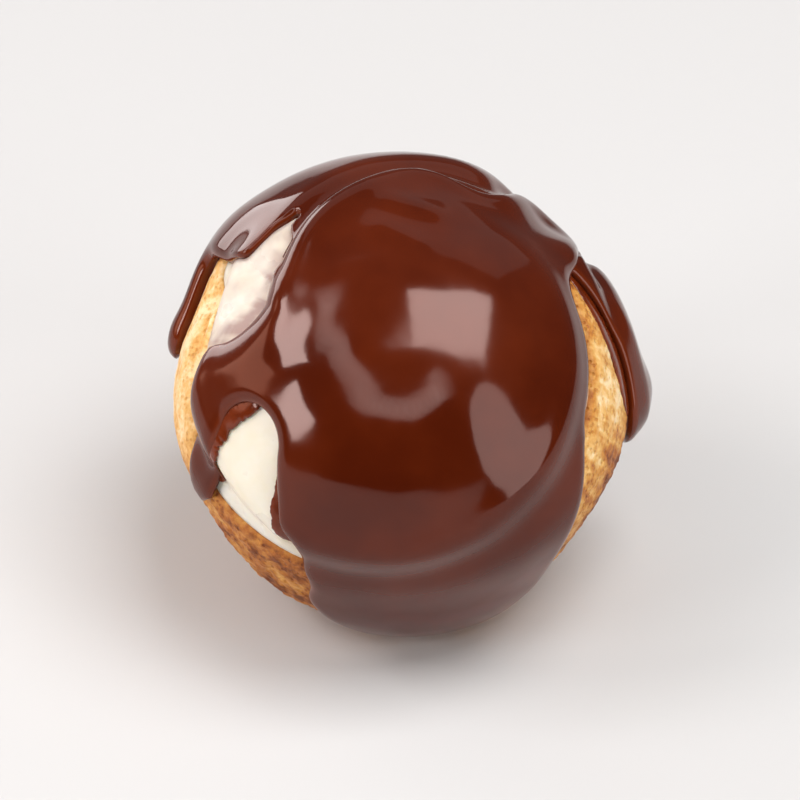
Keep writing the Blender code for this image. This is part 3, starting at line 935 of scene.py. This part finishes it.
def smear_and_shade(rays):
    wedge = 1.0 - smooth_step(angle_to(rays, WEDGE_MIDDLE), WEDGE_INNER, WEDGE_OUTER)
    near_front = smooth_step(front_cover(rays), -10.0, -1.0) * wedge
    near_back = smooth_step(back_cover(rays), -5.0, 0.0) * wedge
    down, turns = angle_to(rays, FLOW_START), lid_turns(rays)
    along_flow = np.stack([down * FLOW_SCALE, turns * SIDE_SCALE, 0.0 * turns], axis=1)
    streaky = smooth_step(grain(along_flow, 1.0, 51.0, 3), -0.25, 0.45)
    smeared = near_front * (FRONT_STAIN + STREAKY_STAIN * streaky)
    # painted shade evenly over the wedge, and chocolate smears near the pours
    smeared_and_shaded = np.maximum.reduce([EVEN_PAINTED_SHADE * wedge, smeared, BACK_STAIN * near_back])
    return smeared_and_shaded * (0.85 + 0.45 * grain(rays, 12.0, 51.0, 3))


store_mask(cream, "smear_and_shade", smear_and_shade(to_rays(piece_points(cream))))

# %% [markdown]
# ## Thin chocolate
# Chocolate thins out at a pour's very edge and in the streaks, and more light comes back there.

# %% Thin chocolate
THIN_EDGE_SHARE, THIN_EDGE_START, THIN_EDGE_END = 0.45, 0.1, 1.6
THIN_STREAKS, THIN_UNEVEN = 0.55, 0.4
for piece, cover_of in ((front_pour, front_cover), (back_pour, back_cover)):
    cover = cover_of(to_rays(piece_points(piece)))
    thin = THIN_EDGE_SHARE * (1.0 - smooth_step(cover, THIN_EDGE_START, THIN_EDGE_END))
    store_mask(piece, "thin", thin)
rays = to_rays(piece_points(streaks))
store_mask(streaks, "thin", THIN_STREAKS + THIN_UNEVEN * grain(rays, 14.0, 57.0, 3))

# %% [markdown]
# ## Shared effects
# Two node groups are built once and placed in several materials. One gives fine unevenness: a
# soft mask that shifts colour and gloss, and a height for bump. The other is the mottle of a
# baked crust: a colour by browning with painted shade in its pores, and pores and freckles in
# its height.

# %% Node helpers
def add_node(tree, kind, settings=(), values=()):
    made = tree.nodes.new(kind)
    for name, value in settings:
        setattr(made, name, value)
    for name, value in values:
        made.inputs[name].default_value = value
    return made


def add_noise(tree, coordinates, scale, detail, roughness=0.55):
    made = add_node(tree, "ShaderNodeTexNoise", values=(
        ("Scale", scale), ("Detail", detail), ("Roughness", roughness)))
    tree.links.new(coordinates, made.inputs["Vector"])
    return made.outputs["Fac"]


def add_math(tree, operation, first, second):
    made = add_node(tree, "ShaderNodeMath", (("operation", operation),))
    for socket, value in zip(made.inputs, (first, second)):
        if isinstance(value, (int, float)):
            socket.default_value = value
        else:
            tree.links.new(value, socket)
    return made.outputs["Value"]


def add_range(tree, value, limits, outputs, interpolation="SMOOTHSTEP"):
    names = ("From Min", "From Max", "To Min", "To Max")
    made = add_node(tree, "ShaderNodeMapRange", (("interpolation_type", interpolation),),
                    tuple(zip(names, (*limits, *outputs))))
    tree.links.new(value, made.inputs["Value"])
    return made.outputs["Result"]


def add_mix(tree, factor, first, second):
    made = add_node(tree, "ShaderNodeMix", (("data_type", "RGBA"),))
    for socket, value in zip((made.inputs[0], made.inputs[6], made.inputs[7]), (factor, first, second)):
        if isinstance(value, tuple):
            socket.default_value = value
        else:
            tree.links.new(value, socket)
    return made.outputs[2]


# %% Group helpers
def new_group(name, inputs, outputs):
    """A new group, its given values and its results; each socket is told by its name and kind."""
    group = bpy.data.node_groups.new(name, "ShaderNodeTree")
    for way, sockets in (("INPUT", inputs), ("OUTPUT", outputs)):
        for label, kind in sockets:
            group.interface.new_socket(name=label, in_out=way, socket_type="NodeSocket" + kind)
    return group, group.nodes.new("NodeGroupInput").outputs, group.nodes.new("NodeGroupOutput").inputs


def place_group(tree, group, values):
    placed = add_node(tree, "ShaderNodeGroup", (("node_tree", group),))
    for name, value in values:
        if isinstance(value, (int, float)):
            placed.inputs[name].default_value = value
        else:
            tree.links.new(value, placed.inputs[name])
    return placed.outputs


# %% [markdown]
# ## Fine unevenness
# Broad noise gives the mask, and the same noise with some of a five times finer one gives the
# height. The chocolate and the cream use it at their own scales.

# %% Fine unevenness
FINER_SCALE = 5.0
uneven, given, result = new_group(
    "fine_unevenness",
    (("Coordinates", "Vector"), ("Scale", "Float"), ("Fine Share", "Float")),
    (("Mask", "Float"), ("Height", "Float")))
broad = add_node(uneven, "ShaderNodeTexNoise", values=(("Detail", 3.0), ("Roughness", 0.5)))
fine = add_node(uneven, "ShaderNodeTexNoise", values=(("Detail", 4.0), ("Roughness", 0.6)))
fine_scale = add_math(uneven, "MULTIPLY", given["Scale"], FINER_SCALE)
for made, scale in ((broad, given["Scale"]), (fine, fine_scale)):
    uneven.links.new(given["Coordinates"], made.inputs["Vector"])
    uneven.links.new(scale, made.inputs["Scale"])
uneven.links.new(add_range(uneven, broad.outputs["Fac"], (0.3, 0.7), (0.0, 1.0)), result["Mask"])
fine_part = add_math(uneven, "MULTIPLY", fine.outputs["Fac"], given["Fine Share"])
uneven.links.new(add_math(uneven, "ADD", broad.outputs["Fac"], fine_part), result["Height"])
print(uneven.name, "puts out", [socket.name for socket in result if socket.name])

# %% [markdown]
# ## Baked mottle and pore shade
# Patches and freckles shift the browning, and each pore is painted a little darker as shade in its
# hollow. A ramp of baked colours turns browning to colour. Pores and freckles are also the height
# of the bump.

# %% Baked mottle and painted pore shade
PATCH_SCALE, FRECKLE_SCALE, PORE_SCALE = 330.0, 1150.0, 1500.0
# the second share darkens each pore as painted shade
FRECKLE_SHARE, PORE_SHADE = 0.6, 0.16
FRECKLE_HEIGHT, PORE_HEIGHT = 0.7, 0.5
BROWNS = [                      # browning, colour
    (0.00, (0.88, 0.66, 0.37, 1.0)),
    (0.28, (0.76, 0.44, 0.14, 1.0)),
    (0.56, (0.60, 0.26, 0.048, 1.0)),
    (0.80, (0.42, 0.135, 0.022, 1.0)),
    (1.00, (0.20, 0.05, 0.010, 1.0)),
]
mottle_and_shade, given, result = new_group(
    "baked_mottle_and_pore_shade",
    (("Coordinates", "Vector"), ("Browning", "Float"), ("Contrast", "Float")),
    (("Colour", "Color"), ("Roughness", "Float"), ("Height", "Float")))
patches = add_noise(mottle_and_shade, given["Coordinates"], PATCH_SCALE, 4.0)
freckles = add_noise(mottle_and_shade, given["Coordinates"], FRECKLE_SCALE, 3.0, 0.6)
pores = add_node(mottle_and_shade, "ShaderNodeTexVoronoi", values=(("Scale", PORE_SCALE), ("Randomness", 1.0)))
mottle_and_shade.links.new(given["Coordinates"], pores.inputs["Vector"])
pits = add_range(mottle_and_shade, pores.outputs["Distance"], (0.10, 0.42), (0.0, 1.0))
freckled = add_math(mottle_and_shade, "MULTIPLY", add_math(mottle_and_shade, "SUBTRACT", freckles, 0.5), FRECKLE_SHARE)
shift = add_math(mottle_and_shade, "ADD", add_math(mottle_and_shade, "SUBTRACT", patches, 0.5), freckled)
shift = add_math(mottle_and_shade, "MULTIPLY", shift, given["Contrast"])
# painted shade: each pore's colour is made darker
pit_shade = add_math(mottle_and_shade, "MULTIPLY", add_math(mottle_and_shade, "SUBTRACT", 1.0, pits), PORE_SHADE)
ramp = mottle_and_shade.nodes.new("ShaderNodeValToRGB")
while len(ramp.color_ramp.elements) < len(BROWNS):
    ramp.color_ramp.elements.new(0.5)
for element, (place, colour) in zip(ramp.color_ramp.elements, BROWNS):
    element.position, element.color = place, colour
browned = add_math(mottle_and_shade, "ADD", add_math(mottle_and_shade, "ADD", given["Browning"], shift), pit_shade)
mottle_and_shade.links.new(browned, ramp.inputs["Fac"])
mottle_and_shade.links.new(ramp.outputs["Color"], result["Colour"])
mottle_and_shade.links.new(add_range(mottle_and_shade, patches, (0.3, 0.7), (0.42, 0.62)), result["Roughness"])
freckle_rise = add_math(mottle_and_shade, "MULTIPLY", freckles, FRECKLE_HEIGHT)
rise = add_math(mottle_and_shade, "ADD", freckle_rise, add_math(mottle_and_shade, "MULTIPLY", pits, PORE_HEIGHT))
mottle_and_shade.links.new(add_math(mottle_and_shade, "ADD", rise, patches), result["Height"])
print(mottle_and_shade.name, "puts out", [socket.name for socket in result if socket.name])

# %% [markdown]
# ## Materials
# Each finish has its own Principled shader. The groups feed colour, roughness and bump, and
# whatever is the same all over is set on the shader's own sockets.

# %% Start a material
def new_material(name, pieces):
    """Puts a new material on the pieces, and gives its node tree, shader and coordinates."""
    material = bpy.data.materials.new(name)
    material.use_nodes = True
    for piece in pieces:
        piece.data.materials.clear()
        piece.data.materials.append(material)
    tree = material.node_tree
    coordinates = tree.nodes.new("ShaderNodeTexCoord").outputs["Object"]
    return tree, tree.nodes["Principled BSDF"], coordinates


def read_mask(tree, name):
    return add_node(tree, "ShaderNodeAttribute", (("attribute_name", name),)).outputs["Fac"]


def add_bump(tree, shader, height, distance):
    bump = add_node(tree, "ShaderNodeBump", values=(("Distance", distance), ("Strength", 1.0)))
    tree.links.new(height, bump.inputs["Height"])
    tree.links.new(bump.outputs["Normal"], shader.inputs["Normal"])


# %% [markdown]
# ## Poured chocolate
# Set glaze is dark red-brown under a sharp reflection. It is redder where it is thin at its
# edges. Its gloss has slight flow marks, so reflections are not perfectly even.

# %% Chocolate material
DEEP, LIGHT = (0.060, 0.0060, 0.0006, 1.0), (0.092, 0.0110, 0.0015, 1.0)
THIN, THIN_COLOUR_SHARE = (0.22, 0.034, 0.006, 1.0), 0.75
tree, shader, coordinates = new_material("poured_chocolate", [front_pour, back_pour, streaks])
marks = place_group(tree, uneven, (("Coordinates", coordinates), ("Scale", 85.0), ("Fine Share", 0.03)))
colour = add_mix(tree, marks["Mask"], DEEP, LIGHT)
thin = add_math(tree, "MULTIPLY", read_mask(tree, "thin"), THIN_COLOUR_SHARE)
tree.links.new(add_mix(tree, thin, colour, THIN), shader.inputs["Base Color"])
tree.links.new(add_range(tree, marks["Mask"], (0.0, 1.0), (0.07, 0.13)), shader.inputs["Roughness"])
shader.inputs["Specular Tint"].default_value = (1.0, 0.74, 0.68, 1.0)
add_bump(tree, shader, marks["Height"], 0.12 * MM)
print("chocolate on", [piece.name for piece in (front_pour, back_pour, streaks)])

# %% [markdown]
# ## Baked crust
# Choux bakes from cream colour through gold to brown. It is matt with a little grease, and its
# skin is full of fine pores.

# %% Crust material
tree, shader, coordinates = new_material("baked_crust", [base, lid])
baked = place_group(tree, mottle_and_shade, (
    ("Coordinates", coordinates), ("Browning", read_mask(tree, "browning")), ("Contrast", 1.5)))
tree.links.new(baked["Colour"], shader.inputs["Base Color"])
tree.links.new(baked["Roughness"], shader.inputs["Roughness"])
shader.inputs["Specular IOR Level"].default_value = 0.32
shader.inputs["Subsurface Weight"].default_value = 0.12
shader.inputs["Subsurface Radius"].default_value = (1.0, 0.45, 0.2)
shader.inputs["Subsurface Scale"].default_value = 1.2 * MM
add_bump(tree, shader, baked["Height"], 0.22 * MM)
print("crust on", [piece.name for piece in (base, lid)])

# %% [markdown]
# ## Cream
# The cream filling is smooth and damp, with light going a little way into it. Chocolate has
# stained it near the edges of the pours, and in the far-left wedge it is darkened by painted shade.

# %% Cream material
CREAM, CREAM_DEEP = (0.86, 0.81, 0.70, 1.0), (0.82, 0.76, 0.61, 1.0)
# pinkish grey of the chocolate smears, also used as painted shade over the wedge
SMEAR_AND_SHADE_COLOUR = (0.38, 0.26, 0.23, 1.0)
tree, shader, coordinates = new_material("whipped_cream", [cream])
lumps = place_group(tree, uneven, (
    ("Coordinates", coordinates), ("Scale", 230.0), ("Fine Share", 0.25)))
colour = add_mix(tree, lumps["Mask"], CREAM, CREAM_DEEP)
# the mask mixes in chocolate smears and painted shade
tree.links.new(add_mix(tree, read_mask(tree, "smear_and_shade"), colour, SMEAR_AND_SHADE_COLOUR), shader.inputs["Base Color"])
tree.links.new(add_range(tree, lumps["Mask"], (0.0, 1.0), (0.26, 0.42)), shader.inputs["Roughness"])
shader.inputs["Subsurface Weight"].default_value = 0.25
shader.inputs["Subsurface Radius"].default_value = (1.0, 0.7, 0.4)
shader.inputs["Subsurface Scale"].default_value = 2.0 * MM
add_bump(tree, shader, lumps["Height"], 0.12 * MM)
print("cream on", cream.name)

# %% [markdown]
# ## Floor
# A plain pale floor carries the puff's shadow. It is part of the stage and not of the object.

# %% Floor
bpy.ops.object.select_all(action="DESELECT")
bpy.ops.mesh.primitive_plane_add(size=4.0, location=(0.0, 0.0, low.z))
floor = bpy.context.active_object
floor.name = floor.data.name = "floor"
bpy.ops.object.transform_apply(location=True, rotation=True, scale=True)
shader = new_material("pale_floor", [floor])[1]
shader.inputs["Base Color"].default_value = (0.61, 0.60, 0.595, 1.0)
shader.inputs["Roughness"].default_value = 0.8
shader.inputs["Specular IOR Level"].default_value = 0.2

# %% [markdown]
# ## Lights
# Glossy chocolate shows the lights' own shapes, so each highlight is a light of that shape: a
# large box overhead, two panes of a window at the left, and a round one at the right. A chain
# of soft discs that overlap makes the long curved highlight round the top.

# %% Softboxes
LIGHT_DISTANCE = 0.9


def add_softbox(name, toward, width, height, radiance, along=None, distance=LIGHT_DISTANCE):
    """A rectangular light that faces the bun; along says which way its width runs."""
    toward = Vector(toward).normalized()
    data = bpy.data.lights.new(name, "AREA")
    data.shape = "RECTANGLE"
    data.size, data.size_y = width, height
    data.energy = radiance * math.pi * width * height
    light = bpy.data.objects.new(name, data)
    bpy.context.scene.collection.objects.link(light)
    turned = (-toward).to_track_quat("-Z", "Y")
    if along is not None:
        along = Vector(along)
        sideways = (along - along.dot(toward) * toward).normalized()
        turned = Matrix((sideways, toward.cross(sideways), toward)).transposed().to_quaternion()
    light.rotation_euler = turned.to_euler()
    light.location = BUN_CENTRE + toward * distance
    return data


add_softbox("overhead_box", (0.36, -0.13, 0.92), 0.52, 0.46, 7.5, (1.0, 0.1, -0.3), 0.8)
add_softbox("window_upper_pane", (-0.719, -0.071, 0.692), 0.20, 0.40, 9.5, (0.177, -0.068, 0.174))
add_softbox("window_lower_pane", (-0.769, -0.47, 0.375), 0.25, 0.26, 9.5, (0.15, -0.05, 0.258))
add_softbox("right_box", (0.743, -0.602, 0.287), 0.44, 0.85, 2.3).shape = "ELLIPSE"
add_softbox("back_left_box", direction(-138.0, 76.0), 0.50, 0.38, 4.2)
add_softbox("back_top_box", direction(180.0, 42.0), 1.4, 0.46, 0.32)
add_softbox("warm_left_box", direction(-93.0, 73.0), 0.55, 0.34, 2.4).color = (1.0, 0.6, 0.45)

# %% An arch of soft discs
ARCH = [(-111.0, 28.0), (-80.0, 33.0), (-55.0, 40.0), (-35.0, 45.0),
        (-13.0, 49.0), (8.0, 48.5), (32.0, 42.0)]
ARCH_DISCS, DISC_SIZE, DISC_RADIANCE, ARCH_DISTANCE = 30, 0.18, 0.68, 0.95
for number, toward in enumerate(along_path(ARCH, np.linspace(0.0, 1.0, ARCH_DISCS))):
    disc = add_softbox("arch_" + str(number), toward, DISC_SIZE, DISC_SIZE, DISC_RADIANCE,
                       distance=ARCH_DISTANCE)
    disc.shape = "ELLIPSE"
print("lights:", len(bpy.data.lights))

# %% [markdown]
# ## World
# A dim white fills the shadows. It is a little brighter high up at the back, as in a room with
# pale walls.

# %% World
BRIGHT_SIDE = (0.0, 0.8, 0.6)
DIM, BRIGHT = 0.05, 0.14
world = bpy.data.worlds.new("studio")
bpy.context.scene.world = world
world.use_nodes = True
tree = world.node_tree
background = tree.nodes["Background"]
coordinate = tree.nodes.new("ShaderNodeTexCoord")
facing = add_node(tree, "ShaderNodeVectorMath", (("operation", "DOT_PRODUCT"),))
facing.inputs[1].default_value = BRIGHT_SIDE
tree.links.new(coordinate.outputs["Generated"], facing.inputs[0])
strength = add_range(tree, facing.outputs["Value"], (-0.3, 0.8), (DIM, BRIGHT), "LINEAR")
tree.links.new(strength, background.inputs["Strength"])
background.inputs["Color"].default_value = (1.0, 1.0, 1.0, 1.0)
print("world from", DIM, "to", BRIGHT)

# %% [markdown]
# ## Camera
# A long lens from a good way off keeps the bun's round outline true. It looks down on the lid.

# %% Camera
CAMERA_ELEVATION = 36.0
CAMERA_DISTANCE = 0.7
CAMERA_RISE = 1.26 * MM         # how far above the bun's centre it aims
SENSOR_WIDTH = 36.0             # millimetres, as a camera's sensor is told
VIEW_WIDTH = 84.0 * MM
camera_data = bpy.data.cameras.new("camera")
camera = bpy.data.objects.new("camera", camera_data)
bpy.context.scene.collection.objects.link(camera)
camera_data.sensor_width = SENSOR_WIDTH
camera_data.lens = SENSOR_WIDTH * CAMERA_DISTANCE / VIEW_WIDTH
camera_data.clip_start, camera_data.clip_end = 0.01, 20.0
backwards = Vector(direction(0.0, 90.0 - CAMERA_ELEVATION))
camera_up = Vector(direction(180.0, CAMERA_ELEVATION))
target = BUN_CENTRE + camera_up * CAMERA_RISE
camera.location = target + backwards * CAMERA_DISTANCE
camera.rotation_euler = (-backwards).to_track_quat("-Z", "Y").to_euler()
bpy.context.scene.camera = camera
bpy.context.scene.view_settings.view_transform = "Standard"
print("lens:", round(camera_data.lens, 1), "mm")
